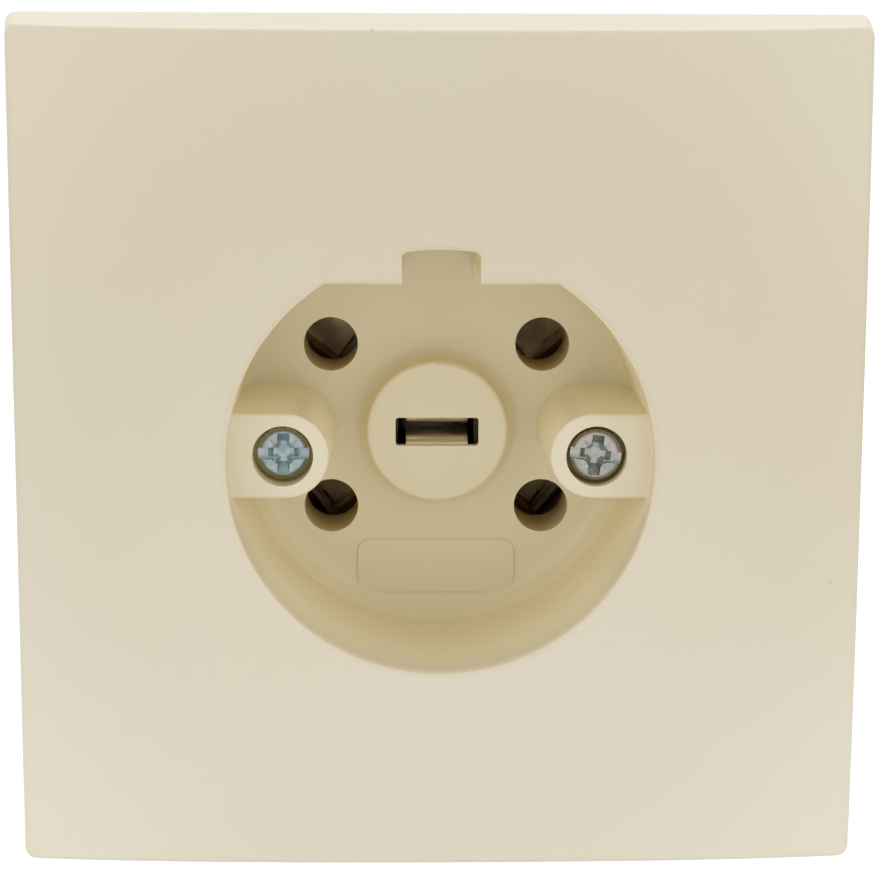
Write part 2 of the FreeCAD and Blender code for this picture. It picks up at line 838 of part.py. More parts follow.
save(cover_plate(), "cover_plate")
save(cover_screw(-1, 0.0, 0.0), "cover_screw_left")
save(cover_screw(1, right_screw_turn, right_screw_proud), "cover_screw_right")
save(thread_bush(-1), "thread_bush_left")
save(thread_bush(1), "thread_bush_right")
save(support_ring(), "support_ring")
save(ring_rivets(), "ring_rivets")
save(socket_base(), "socket_base")
save(rear_cover(), "rear_cover")
save(rear_cover_screws(), "rear_cover_screws")
for pole, pole_angle in POLES.items():
    save(pin_contact(pole_angle), "contact_" + pole)
    save(spring_band(leaf_width, leaf_spread, pole_angle, pin_circle), "spring_" + pole)
    save(terminal_block(pole_angle), "terminal_" + pole)
    save(terminal_screw(pole_angle), "terminal_screw_" + pole)
save(earth_contact(), "contact_earth")
save(spring_band(earth_leaf_width, earth_spread, 0.0, 0.0), "spring_earth")
save(terminal_block(270.0), "terminal_earth")
save(terminal_screw(270.0), "terminal_screw_earth")
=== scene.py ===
"""Finish, light and frame a five-pole flush socket around its CAD model."""
import math

import bmesh
import bpy
from mathutils import Matrix, Vector


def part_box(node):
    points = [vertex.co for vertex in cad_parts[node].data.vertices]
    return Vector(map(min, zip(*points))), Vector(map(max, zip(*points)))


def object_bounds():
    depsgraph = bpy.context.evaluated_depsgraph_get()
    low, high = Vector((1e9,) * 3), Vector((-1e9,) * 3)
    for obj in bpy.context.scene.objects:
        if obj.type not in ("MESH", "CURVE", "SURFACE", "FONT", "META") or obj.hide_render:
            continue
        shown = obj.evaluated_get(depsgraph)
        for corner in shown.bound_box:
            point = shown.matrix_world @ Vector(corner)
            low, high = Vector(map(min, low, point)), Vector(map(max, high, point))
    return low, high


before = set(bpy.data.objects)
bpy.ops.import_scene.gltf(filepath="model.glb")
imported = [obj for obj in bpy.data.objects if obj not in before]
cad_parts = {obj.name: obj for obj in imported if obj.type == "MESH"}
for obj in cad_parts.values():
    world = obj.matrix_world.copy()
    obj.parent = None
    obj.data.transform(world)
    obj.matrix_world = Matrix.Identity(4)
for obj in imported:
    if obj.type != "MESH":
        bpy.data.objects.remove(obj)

bl_info = {
    "name": "Flush Socket Finishes",
    "version": (1, 0, 0),
    "blender": (4, 5, 0),
    "location": "View3D > Sidebar > Socket",
    "description": "Finishes, lamps and camera for a five-pole flush socket",
    "category": "Object",
}

CAD_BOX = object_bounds()
MM = 0.001
POLES = ("l1", "l2", "l3", "n", "earth")

# Each pair says where along y a tone starts and where it is full: painted shade deep in the
# recess, a painted highlight on the recess's rounded edge, painted light in the base's
# pockets, and painted light on a screw drive's walls.
RECESS_DEPTHS = (-12.9 * MM, -5.0 * MM)
RIM_HIGHLIGHT_DEPTHS = (-10.5 * MM, -12.8 * MM)
POCKET_DEPTHS = ((8.9 * MM, 9.6 * MM), (34.2 * MM, 33.8 * MM))
DRIVE_DEPTHS = (0.03 * MM, 0.2 * MM)
# Centre, radius and depths of the holes for the screws, then for the pins, whose walls get
# a painted shade colour.
SHADED_HOLES = (
    ((14.4 * MM, 0.0, 0.0), 2.9 * MM, (-8.4 * MM, -7.0 * MM)),
    ((10.35 * MM, 0.0, 8.05 * MM), 2.75 * MM, (8.8 * MM, 10.5 * MM)),
)
# Distances from the middle where the corners' painted sheen starts and where it is full.
CORNER_SHEEN_REACH = (30.0 * MM, 56.0 * MM)
# Reach of the pockets' painted light and of a screw drive's painted light from their
# middle.
POCKET_REACH = 17.5 * MM
DRIVE_REACH = 2.4 * MM
# Width of the rounded edges on the plated screws, which get a painted highlight.
EDGE_ROUNDING = 0.07 * MM
# Heights where the painted top shade starts and where it is full: the moulding is painted
# darker and yellower towards the top.
TOP_SHADE_HEIGHTS = (-34.0 * MM, 26.0 * MM)

# How far a surface faces up where dust starts to lie, and where it lies thickest.
DUSTY_FACING = (0.35, 1.0)
# How far a surface faces along y where it starts to count as a wall, and where it does.
WALL_FACING = (-0.95, -0.3)
# How well the rounded and the true normal agree where the painted edge highlight starts,
# and where it is full.
HIGHLIGHT_AGREEMENT = (0.985, 0.9)
# Keeps the parts of a vector that lie across y.
ACROSS_Y = (1.0, 0.0, 1.0)

WHITE = (1.0, 1.0, 1.0, 1.0)
CREAM_SPECK = (0.30, 0.24, 0.16, 1.0)
CREAM_DUST = (0.75, 0.73, 0.68, 1.0)
BROWN_FILLER = (0.12, 0.07, 0.045, 1.0)
BROWN_DUST = (0.24, 0.21, 0.18, 1.0)
DARK_CRYSTAL = (0.36, 0.37, 0.385, 1.0)
PALE_CRYSTAL = (0.56, 0.57, 0.575, 1.0)
ROLLED_GREY = (0.30, 0.31, 0.32, 1.0)
FLOOR_TONE = (0.82, 0.82, 0.81, 1.0)

# How each channel of a tone changes in patches, in stains, and at edges with a painted
# highlight.
PALER_BROWN = (1.25, 1.22, 1.2)
DULL_ZINC = (0.78, 0.8, 0.8)
YELLOW_STAIN = (1.1, 1.0, 0.75)
PINK_FILM = (1.3, 0.95, 1.05)
ZINC_EDGE_HIGHLIGHT = (2.2, 1.95, 1.95)
DULL_STEEL = (0.7, 0.71, 0.73)
BROWN_TARNISH = (0.45, 0.4, 0.42)
DULL_BRASS = (0.7, 0.66, 0.6)
DRAWN_BRASS = (1.08, 1.08, 1.1)

# How often grit, skins and the crystals' wobble repeat, per metre.
GRIT_SCALE = 2600.0
SATIN_SCALE = 1600.0
GRAIN_SCALE = 1100.0
WOBBLE_SCALE = 500.0
# How far the wobble shifts the crystals' edges.
WOBBLE = 1.2 * MM
# How often lines repeat along x, y and z, per metre.
RING_LINES = (5200.0, 5200.0, 160.0)
CONTACT_LINES = (4200.0, 120.0, 4200.0)
EARTH_LINES = (160.0, 4200.0, 4200.0)
BAR_LINES = (2600.0, 200.0, 2600.0)

FLOOR_HALF = 3.0
# Distances on the floor, and how strongly it glows there for the camera alone.
GLOW_DISTANCES = (0.12, 0.6)
GLOW_STRENGTHS = (0.23, 0.55)

# Name, place, size and power of each lamp. All of them face the part.
LAMPS = (
    ("rear_top", (0.0, 0.35, 0.9), 0.9, 4.0),
    ("front_left", (-0.95, -0.7, 0.35), 0.9, 2.3),
    ("front_right", (0.95, -0.7, 0.35), 0.9, 2.3),
    ("table_glow", (0.0, -0.25, -0.09), 0.25, 0.085),
)


# settings


class CoverSettings(bpy.types.PropertyGroup):
    """Cream moulding of the cover plate."""

    tone: bpy.props.FloatVectorProperty(
        name="Tone", description="Colour of the cream moulding",
        default=(0.79, 0.736, 0.597), subtype="COLOR", size=3, min=0.0, max=1.0,
    )
    # Painted shade: a darker, yellower colour towards the top, standing in for less light
    # falling there.
    top_shade_tone: bpy.props.FloatVectorProperty(
        name="Top shade tone", description="Yellower colour towards the top of the moulding",
        default=(0.72, 0.645, 0.494), subtype="COLOR", size=3, min=0.0, max=1.0,
    )
    flow_tint: bpy.props.FloatVectorProperty(
        name="Flow tint", description="Tint of the patches left by the moulding's flow",
        default=(1.0, 0.975, 0.94), subtype="COLOR", size=3, min=0.0, max=1.0,
    )
    # Painted sheen: this tint pales the moulding towards its corners, as if they caught
    # more light.
    corner_sheen_tint: bpy.props.FloatVectorProperty(
        name="Corner sheen tint", description="Tint that pales the moulding towards its corners",
        default=(1.075, 1.09, 1.105), subtype="COLOR", size=3, min=0.0, max=1.5,
    )
    # Painted shade: the deeper, more saturated cream of light bounced round the recess.
    recess_shade_tone: bpy.props.FloatVectorProperty(
        name="Recess shade tone", description="Colour deep in the recess, painted with the shade of light bounced round it",
        default=(0.848, 0.768, 0.554), subtype="COLOR", size=3, min=0.0, max=1.0,
    )
    # Painted light: this paler colour stands in for more light on the recess's walls.
    wall_light_tone: bpy.props.FloatVectorProperty(
        name="Wall light tone", description="Colour of the recess's walls, painted lighter for light falling on them",
        default=(0.95, 0.855, 0.60), subtype="COLOR", size=3, min=0.0, max=1.0,
    )
    # Painted highlight: this bright colour stands in for light caught by the rounded edge
    # round the recess.
    rim_highlight_tone: bpy.props.FloatVectorProperty(
        name="Rim highlight tone", description="Colour of the rounded edge round the recess",
        default=(1.0, 0.90, 0.68), subtype="COLOR", size=3, min=0.0, max=1.0,
    )
    # Painted shade: this saturated colour stands in for the shade on the walls of the screw
    # and pin holes.
    hole_shade_tone: bpy.props.FloatVectorProperty(
        name="Hole shade tone", description="Colour of the walls of the screw and pin holes",
        default=(0.85, 0.69, 0.35), subtype="COLOR", size=3, min=0.0, max=1.0,
    )
    recess_radius: bpy.props.FloatProperty(
        name="Recess radius", description="Reach of the painted recess shade from the middle",
        default=23.0 * MM, min=0.1 * MM, unit="LENGTH", precision=4,
    )
    roughness: bpy.props.FloatProperty(
        name="Roughness", description="Roughness of the satin face",
        default=0.34, min=0.0, max=1.0, subtype="FACTOR",
    )
    speck_size: bpy.props.FloatProperty(
        name="Speck size", description="Distance between the sparse specks in the moulding",
        default=7.0 * MM, min=0.1 * MM, unit="LENGTH", precision=4,
    )


class BaseSettings(bpy.types.PropertyGroup):
    """Dark moulding of the base and its rear cover."""

    # Painted light: this paler colour stands in for light inside the pockets.
    pocket_light_tone: bpy.props.FloatVectorProperty(
        name="Pocket light tone", description="Paler colour of the walls inside the pockets",
        default=(0.26, 0.165, 0.09), subtype="COLOR", size=3, min=0.0, max=1.0,
    )
    tone: bpy.props.FloatVectorProperty(
        name="Tone", description="Colour of the dark moulding",
        default=(0.062, 0.033, 0.020), subtype="COLOR", size=3, min=0.0, max=1.0,
    )
    roughness: bpy.props.FloatProperty(
        name="Roughness", description="Roughness of the dark moulding",
        default=0.34, min=0.0, max=1.0, subtype="FACTOR",
    )


class MetalSettings(bpy.types.PropertyGroup):
    """Screws, sheet and contacts."""

    zinc_blue: bpy.props.FloatVectorProperty(
        name="Blue zinc", description="Colour of the bluish plated screw",
        default=(0.30, 0.385, 0.405), subtype="COLOR", size=3, min=0.0, max=1.0,
    )
    zinc_grey: bpy.props.FloatVectorProperty(
        name="Grey zinc", description="Colour of the greyer plated screw",
        default=(0.35, 0.38, 0.37), subtype="COLOR", size=3, min=0.0, max=1.0,
    )
    # Painted light: these pale colours stand in for light on the walls of the screws'
    # drives.
    drive_light_blue: bpy.props.FloatVectorProperty(
        name="Blue drive light", description="Colour of the walls in the bluish screw's drive",
        default=(0.69, 0.81, 0.81), subtype="COLOR", size=3, min=0.0, max=1.0,
    )
    drive_light_grey: bpy.props.FloatVectorProperty(
        name="Grey drive light", description="Colour of the walls in the greyer screw's drive",
        default=(0.55, 0.58, 0.53), subtype="COLOR", size=3, min=0.0, max=1.0,
    )
    brass: bpy.props.FloatVectorProperty(
        name="Brass", description="Colour of the rolled brass contacts",
        default=(0.70, 0.53, 0.29), subtype="COLOR", size=3, min=0.0, max=1.0,
    )
    pale_brass: bpy.props.FloatVectorProperty(
        name="Pale brass", description="Colour of the paler brass of the earth fork",
        default=(0.80, 0.72, 0.54), subtype="COLOR", size=3, min=0.0, max=1.0,
    )
    rivet: bpy.props.FloatVectorProperty(
        name="Rivet", description="Colour of the rivets' steel",
        default=(0.56, 0.56, 0.57), subtype="COLOR", size=3, min=0.0, max=1.0,
    )
    rear_screw: bpy.props.FloatVectorProperty(
        name="Rear screw", description="Colour of the rear cover's screws",
        default=(0.50, 0.51, 0.53), subtype="COLOR", size=3, min=0.0, max=1.0,
    )
    clamp_screw: bpy.props.FloatVectorProperty(
        name="Clamp screw", description="Colour of the terminals' screws",
        default=(0.58, 0.58, 0.56), subtype="COLOR", size=3, min=0.0, max=1.0,
    )
    # Painted light: the springs' pale brassy colour stands in for light deep in the pin
    # holes.
    spring: bpy.props.FloatVectorProperty(
        name="Spring", description="Colour of the spring bands, painted pale for light deep in the holes",
        default=(0.80, 0.62, 0.42), subtype="COLOR", size=3, min=0.0, max=1.0,
    )
    spangle: bpy.props.FloatProperty(
        name="Spangle", description="Size of the crystals on the galvanised ring",
        default=2.6 * MM, min=0.1 * MM, unit="LENGTH", precision=4,
    )


class StageSettings(bpy.types.PropertyGroup):
    """Camera, lamps and floor."""

    focal: bpy.props.FloatProperty(
        name="Focal length", description="Lens of the camera in millimetres",
        default=101.786, min=1.0, subtype="NONE",
    )
    place: bpy.props.FloatVectorProperty(
        name="Camera place", description="Where the camera stands",
        default=(-4.704 * MM, -232.756 * MM, 40.965 * MM), subtype="TRANSLATION", size=3,
    )
    aim: bpy.props.FloatVectorProperty(
        name="Camera aim", description="Pitch, roll and yaw of the camera from level",
        default=(-0.174, -0.004, -0.021), subtype="EULER", unit="ROTATION", size=3,
    )
    floor_drop: bpy.props.FloatProperty(
        name="Floor drop", description="Distance from the part down to the floor",
        default=60.0 * MM, min=0.0, unit="LENGTH", precision=4,
    )
    ambient: bpy.props.FloatProperty(
        name="Ambient", description="Strength of the even light all round",
        default=0.62, min=0.0,
    )


# node helpers


def node(tree, kind, sockets=None, **values):
    """Add a node, set its properties, then its sockets by name or number."""
    made = tree.nodes.new(kind)
    row, column = divmod(len(tree.nodes), 8)
    made.location = (200 * column - 1600, -260 * row)
    for key, value in values.items():
        setattr(made, key, value)
    for socket, content in (sockets or {}).items():
        put(tree, made.inputs[socket], content)
    return made


def put(tree, socket, content):
    """Link an output to the socket, or set its value."""
    if isinstance(content, bpy.types.NodeSocket):
        tree.links.new(content, socket)
    else:
        socket.default_value = content


def maths(tree, operation, a, b):
    """Work out one number or mask from two."""
    made = node(tree, "ShaderNodeMath", {0: a, 1: b}, operation=operation)
    return made.outputs[0]


def vectors(tree, operation, *operands, output="Vector"):
    """Work out a vector, or a number, from one vector or more."""
    made = node(
        tree, "ShaderNodeVectorMath", dict(enumerate(operands)), operation=operation
    )
    return made.outputs[output]


def channel(tree, vector, axis):
    """One of the three numbers of a vector."""
    return node(tree, "ShaderNodeSeparateXYZ", {"Vector": vector}).outputs[axis]


def facing(tree, axis):
    """How far the surface faces along an axis, from -1 to 1."""
    return channel(tree, node(tree, "ShaderNodeNewGeometry").outputs["Normal"], axis)


def away_from_axis(tree, point):
    """Distance of a point from the line along y."""
    flat = vectors(tree, "MULTIPLY", point, ACROSS_Y)
    return vectors(tree, "LENGTH", flat, output="Value")


def noise(tree, point, scale, detail, roughness=0.5, output="Fac"):
    """Noise at a point, as one number or as a colour."""
    made = node(
        tree, "ShaderNodeTexNoise",
        {"Vector": point, "Scale": scale, "Detail": detail, "Roughness": roughness},
    )
    return made.outputs[output]


def cells(tree, point, scale):
    """Distance to the middle of the nearest cell, and that cell's own numbers."""
    made = node(
        tree, "ShaderNodeTexVoronoi", {"Vector": point, "Scale": scale}, feature="F1"
    )
    own = node(tree, "ShaderNodeSeparateColor", {"Color": made.outputs["Color"]})
    return made.outputs["Distance"], own.outputs


def ranged(tree, value, low, high, to_low=0.0, to_high=1.0):
    """Map value from low..high to to_low..to_high with a smooth step."""
    made = node(
        tree, "ShaderNodeMapRange",
        {"Value": value, "From Min": low, "From Max": high, "To Min": to_low,
         "To Max": to_high},
        interpolation_type="SMOOTHSTEP",
    )
    return made.outputs["Result"]


def mixed(tree, factor, a, b, how="MIX"):
    """Mix two colours, or multiply them."""
    made = node(
        tree, "ShaderNodeMix", {"Factor": factor, "A": a, "B": b},
        data_type="RGBA", blend_type=how,
    )
    return made.outputs["Result"]


def layered(tree, base, mask, colour, share=1.0):
    """Cover the base with a colour where the mask says, up to a share."""
    if share < 1.0:
        mask = maths(tree, "MULTIPLY", mask, share)
    return mixed(tree, mask, base, colour)


def tinted(tree, base, mask, tint):
    """Multiply the base by a tint where the mask says."""
    partly = mixed(tree, mask, WHITE, rgba(tint))
    return mixed(tree, 1.0, base, partly, how="MULTIPLY")


def rgba(colour, shares=(1.0, 1.0, 1.0)):
    """An opaque colour, with each channel multiplied by its share."""
    return tuple(part * share for part, share in zip(colour, shares)) + (1.0,)


def new_group(name, inputs, outputs):
    """A shader node group, with its inputs and outputs to link by name.

    An input that starts at a number takes numbers, and any other takes vectors.
    """
    tree = bpy.data.node_groups.new(name, "ShaderNodeTree")
    for label, start in inputs.items():
        kind = "NodeSocketFloat" if isinstance(start, float) else "NodeSocketVector"
        socket = tree.interface.new_socket(label, in_out="INPUT", socket_type=kind)
        if start is not None:
            socket.default_value = start
    for label in outputs:
        tree.interface.new_socket(
            label, in_out="OUTPUT", socket_type="NodeSocketFloat"
        )
    given = node(tree, "NodeGroupInput").outputs
    wanted = node(tree, "NodeGroupOutput").inputs
    return tree, given, wanted


def use_group(tree, name, **sockets):
    """Place a node group with its own values, and return its outputs."""
    group = bpy.data.node_groups[name]
    return node(tree, "ShaderNodeGroup", sockets, node_tree=group).outputs


# shared effects


def cloud_group():
    """Soft uneven patches, as a mask from 0 to 1."""
    tree, given, wanted = new_group(
        "Soft patches", {"Point": None, "Size": 0.02, "Contrast": 0.2}, ["Mask"]
    )
    density = maths(tree, "DIVIDE", 1.0, given["Size"])
    cloud = noise(tree, given["Point"], density, detail=3.0)
    low = maths(tree, "SUBTRACT", 0.5, given["Contrast"])
    high = maths(tree, "ADD", 0.5, given["Contrast"])
    put(tree, wanted["Mask"], ranged(tree, cloud, low, high))


def speck_group():
    """Sparse small specks, as a mask from 0 to 1."""
    tree, given, wanted = new_group(
        "Sparse specks", {"Point": None, "Spacing": 0.006, "Radius": 0.04, "Share": 0.4},
        ["Mask"],
    )
    distance, colour = cells(
        tree, given["Point"], maths(tree, "DIVIDE", 1.0, given["Spacing"])
    )
    core = maths(tree, "MULTIPLY", given["Radius"], 0.4)
    inside = ranged(tree, distance, given["Radius"], core)
    chosen = maths(tree, "LESS_THAN", colour["Red"], given["Share"])
    put(tree, wanted["Mask"], maths(tree, "MULTIPLY", inside, chosen))


def dust_group():
    """Fine dust that lies on surfaces facing upwards, as a mask from 0 to 1."""
    tree, given, wanted = new_group(
        "Settled dust", {"Point": None, "Amount": 0.3}, ["Mask"]
    )
    upward = ranged(tree, facing(tree, "Z"), *DUSTY_FACING)
    grit = noise(tree, given["Point"], GRIT_SCALE, detail=3.0)
    broken = ranged(tree, grit, low=0.3, high=0.75)
    mask = maths(tree, "MULTIPLY", upward, broken)
    put(tree, wanted["Mask"], maths(tree, "MULTIPLY", mask, given["Amount"]))


def rolling_group():
    """Fine lines along one direction, as rolled or drawn metal has."""
    tree, given, wanted = new_group(
        "Rolling lines", {"Point": None, "Stretch": (1.0, 1.0, 1.0)}, ["Height", "Mask"]
    )
    spread = vectors(tree, "MULTIPLY", given["Point"], given["Stretch"])
    fine = noise(tree, spread, scale=1.0, detail=3.0, roughness=0.6)
    put(tree, wanted["Height"], fine)
    put(tree, wanted["Mask"], ranged(tree, fine, low=0.35, high=0.65))


def turning_group():
    """Concentric tool marks round a line along y, as turned or headed metal has."""
    tree, given, wanted = new_group(
        "Turning marks", {"Point": None, "Pitch": 0.00012}, ["Height"]
    )
    reach = away_from_axis(tree, given["Point"])
    rings = node(
        tree, "ShaderNodeTexNoise", noise_dimensions="1D",
        sockets={"W": maths(tree, "DIVIDE", reach, given["Pitch"]), "Scale": 1.0,
                 "Detail": 2.0},
    )
    put(tree, wanted["Height"], rings.outputs["Fac"])


def depth_group():
    """How deep a point lies in a round recess along y, and on its walls alone."""
    tree, given, wanted = new_group(
        "Recess depth", {"Point": None, "Radius": 0.02, "From": -0.013, "To": -0.005},
        ["Mask", "Walls"],
    )
    mask = inside_hole(tree, given["Point"], given)
    across = ranged(tree, facing(tree, "Y"), *WALL_FACING)
    put(tree, wanted["Mask"], mask)
    put(tree, wanted["Walls"], maths(tree, "MULTIPLY", mask, across))


def far_group():
    """How far a point lies from the line along y, as a mask from 0 to 1."""
    tree, given, wanted = new_group(
        "Far from the axis", {"Point": None, "From": 0.03, "To": 0.05}, ["Mask"]
    )
    reach = away_from_axis(tree, given["Point"])
    put(tree, wanted["Mask"], ranged(tree, reach, given["From"], given["To"]))


def hole_group():
    """The walls of like holes placed evenly about the middle, as a mask from 0 to 1."""
    tree, given, wanted = new_group(
        "Hole walls",
        {"Point": None, "Centre": (0.0, 0.0, 0.0), "Radius": 0.003, "From": 0.0,
         "To": 0.002},
        ["Mask"],
    )
    folded = vectors(tree, "ABSOLUTE", given["Point"])
    offset = vectors(tree, "SUBTRACT", folded, given["Centre"])
    put(tree, wanted["Mask"], inside_hole(tree, offset, given))


def inside_hole(tree, point, given):
    """Mask inside a radius round the line along y, rising between two depths."""
    reach = away_from_axis(tree, point)
    inside = maths(tree, "LESS_THAN", reach, given["Radius"])
    depth = channel(tree, given["Point"], "Y")
    deep = ranged(tree, depth, given["From"], given["To"])
    return maths(tree, "MULTIPLY", inside, deep)


def shared_effects():
    """Build each node group once."""
    for make in (
        cloud_group, speck_group, dust_group, rolling_group, turning_group, depth_group,
        far_group, hole_group,
    ):
        make()


# finishes


def finish_of(name):
    """A new material with its tree, its shader and object coordinates."""
    made = bpy.data.materials.new(name)
    made.use_nodes = True
    tree = made.node_tree
    shader = tree.nodes["Principled BSDF"].inputs
    point = node(tree, "ShaderNodeTexCoord").outputs["Object"]
    return made, tree, shader, point


def bumped(tree, shader, height, strength, distance, normal=None):
    """Feed a height, and a normal where one is given, into the shader's normal."""
    sockets = {"Strength": strength, "Distance": distance, "Height": height}
    if normal is not None:
        sockets["Normal"] = normal
    bump = node(tree, "ShaderNodeBump", sockets)
    put(tree, shader["Normal"], bump.outputs["Normal"])


def dulled(tree, shader, mask, smooth, dull):
    """Spread the roughness from smooth to dull along a mask."""
    put(tree, shader["Roughness"], ranged(tree, mask, 0.0, 1.0, smooth, dull))


def cream_moulding(given):
    """Satin thermoset, pressed: soft flow patches, sparse specks and a very fine skin, with
    painted shade towards the top, deep in the recess and in the holes, and painted light on
    the corners, the recess's walls and its rounded edge.
    """
    made, tree, shader, point = finish_of("Cream moulding")

    # Painted shade: the moulding turns darker and yellower towards the top, standing in for
    # less light falling there.
    top_shade = ranged(tree, channel(tree, point, "Z"), *TOP_SHADE_HEIGHTS)
    base = mixed(tree, top_shade, rgba(given.tone), rgba(given.top_shade_tone))
    flow = use_group(tree, "Soft patches", Point=point, Size=28.0 * MM, Contrast=0.28)
    base = tinted(tree, base, flow["Mask"], given.flow_tint)
    # Painted sheen: the corners are paled as if they caught more light.
    corner = use_group(
        tree, "Far from the axis", Point=point, From=CORNER_SHEEN_REACH[0], To=CORNER_SHEEN_REACH[1]
    )
    base = tinted(tree, base, corner["Mask"], given.corner_sheen_tint)

    lip, recess = [
        use_group(
            tree, "Recess depth", Point=point, Radius=given.recess_radius, From=start,
            To=end
        )
        for start, end in (RIM_HIGHLIGHT_DEPTHS, RECESS_DEPTHS)
    ]
    # Painted highlight on the rounded edge round the recess.
    base = layered(tree, base, lip["Walls"], rgba(given.rim_highlight_tone), share=0.8)
    # Painted shade: the recess takes the saturated colour of light bounced round inside it.
    base = layered(tree, base, recess["Mask"], rgba(given.recess_shade_tone))
    # Painted light on the recess's walls.
    base = layered(tree, base, recess["Walls"], rgba(given.wall_light_tone))
    # Painted shade on the walls of the screw and pin holes.
    for centre, radius, (start, end) in SHADED_HOLES:
        walls = use_group(
            tree, "Hole walls", Point=point, Centre=centre, Radius=radius, From=start,
            To=end
        )
        base = layered(tree, base, walls["Mask"], rgba(given.hole_shade_tone))

    specks = use_group(
        tree, "Sparse specks", Point=point, Spacing=given.speck_size, Radius=0.035,
        Share=0.3
    )
    base = layered(tree, base, specks["Mask"], CREAM_SPECK, share=0.45)
    dust = use_group(tree, "Settled dust", Point=point, Amount=0.12)
    base = layered(tree, base, dust["Mask"], CREAM_DUST)
    put(tree, shader["Base Color"], base)

    smear = use_group(tree, "Soft patches", Point=point, Size=9.0 * MM, Contrast=0.22)
    dulled(
        tree, shader, smear["Mask"], given.roughness - 0.03, given.roughness + 0.05
    )
    skin = noise(tree, point, SATIN_SCALE, detail=2.0)
    bumped(tree, shader, skin, strength=0.06, distance=0.02 * MM)
    shader["IOR"].default_value = 1.5
    return made


def dark_moulding(given):
    """Dark thermoset with a satin skin, with painted light inside its pockets, and dusty on
    top.
    """
    made, tree, shader, point = finish_of("Dark moulding")
    tone = given.tone

    patches = use_group(
        tree, "Soft patches", Point=point, Size=14.0 * MM, Contrast=0.2
    )
    base = mixed(tree, patches["Mask"], rgba(tone), rgba(tone, PALER_BROWN))
    filler = use_group(
        tree, "Sparse specks", Point=point, Spacing=1.1 * MM, Radius=0.16, Share=0.35
    )
    base = layered(tree, base, filler["Mask"], BROWN_FILLER, share=0.35)
    dust = use_group(tree, "Settled dust", Point=point, Amount=0.2)
    base = layered(tree, base, dust["Mask"], BROWN_DUST)

    # Painted light inside the pockets.
    behind, before = [
        use_group(
            tree, "Recess depth", Point=point, Radius=POCKET_REACH, From=start, To=end
        )
        for start, end in POCKET_DEPTHS
    ]
    pockets = maths(tree, "MULTIPLY", behind["Mask"], before["Mask"])
    base = layered(tree, base, pockets, rgba(given.pocket_light_tone))
    put(tree, shader["Base Color"], base)

    dulled(
        tree, shader, patches["Mask"], given.roughness - 0.08, given.roughness + 0.1
    )
    skin = noise(tree, point, GRAIN_SCALE, detail=3.0)
    bumped(tree, shader, skin, strength=0.18, distance=0.03 * MM)
    return made


def plated_screw(name, tone, walls, centre, front):
    """Zinc plating on a headed screw: mottled and stained, with painted light on its
    drive's walls and a painted highlight on its edges.
    """
    made, tree, shader, point = finish_of(name)
    away = tuple(-centre)
    local = node(tree, "ShaderNodeMapping", {"Vector": point, "Location": away})
    local = local.outputs["Vector"]

    mottle = use_group(
        tree, "Soft patches", Point=point, Size=0.9 * MM, Contrast=0.16
    )
    base = mixed(tree, mottle["Mask"], rgba(tone), rgba(tone, DULL_ZINC))
    stain = use_group(tree, "Soft patches", Point=point, Size=2.5 * MM, Contrast=0.12)
    base = layered(tree, base, stain["Mask"], rgba(tone, YELLOW_STAIN), share=0.5)
    film = use_group(tree, "Soft patches", Point=local, Size=1.3 * MM, Contrast=0.08)
    base = layered(tree, base, film["Mask"], rgba(tone, PINK_FILM), share=0.5)
    # Painted light: the drive's walls take a paler colour, standing in for light on them.
    drive = use_group(
        tree, "Recess depth", Point=local, Radius=DRIVE_REACH,
        From=front + DRIVE_DEPTHS[0], To=front + DRIVE_DEPTHS[1]
    )
    base = layered(tree, base, drive["Walls"], rgba(walls))

    # Painted highlight: the edges are paled as if they caught light.
    true = node(tree, "ShaderNodeNewGeometry").outputs["Normal"]
    rounded_normal = node(tree, "ShaderNodeBevel", {"Radius": EDGE_ROUNDING}, samples=6)
    rounded_normal = rounded_normal.outputs["Normal"]
    agree = vectors(tree, "DOT_PRODUCT", rounded_normal, true, output="Value")
    edges = ranged(tree, agree, *HIGHLIGHT_AGREEMENT)
    base = layered(tree, base, edges, rgba(tone, ZINC_EDGE_HIGHLIGHT))
    put(tree, shader["Base Color"], base)

    shader["Metallic"].default_value = 1.0
    dulled(tree, shader, mottle["Mask"], smooth=0.22, dull=0.38)
    marks = use_group(tree, "Turning marks", Point=local, Pitch=0.16 * MM)
    bumped(
        tree, shader, marks["Height"], strength=0.25, distance=0.02 * MM, normal=rounded_normal
    )
    return made


def galvanised_sheet(given):
    """Hot-dipped sheet: flat crystals of different greys, with fine rolling lines."""
    made, tree, shader, point = finish_of("Galvanised sheet")

    wobble = noise(tree, point, WOBBLE_SCALE, detail=2.0, output="Color")
    shifted = vectors(tree, "MULTIPLY_ADD", wobble, (WOBBLE,) * 3, point)
    _, crystal = cells(tree, shifted, 1.0 / given.spangle)
    base = mixed(tree, crystal["Red"], DARK_CRYSTAL, PALE_CRYSTAL)
    lines = use_group(tree, "Rolling lines", Point=point, Stretch=RING_LINES)
    base = layered(tree, base, lines["Mask"], ROLLED_GREY, share=0.18)
    put(tree, shader["Base Color"], base)

    shader["Metallic"].default_value = 1.0
    dulled(tree, shader, crystal["Green"], smooth=0.34, dull=0.55)
    bumped(tree, shader, lines["Height"], strength=0.2, distance=0.01 * MM)
    return made


def mottled_steel(name, tone, roughness, metallic=1.0):
    """Small steel parts: mottled, with a slight sheen."""
    made, tree, shader, point = finish_of(name)
    mottle = use_group(tree, "Soft patches", Point=point, Size=1.2 * MM, Contrast=0.18)
    base = mixed(tree, mottle["Mask"], rgba(tone), rgba(tone, DULL_STEEL))
    put(tree, shader["Base Color"], base)
    shader["Metallic"].default_value = metallic
    dulled(tree, shader, mottle["Mask"], roughness, roughness + 0.15)
    return made


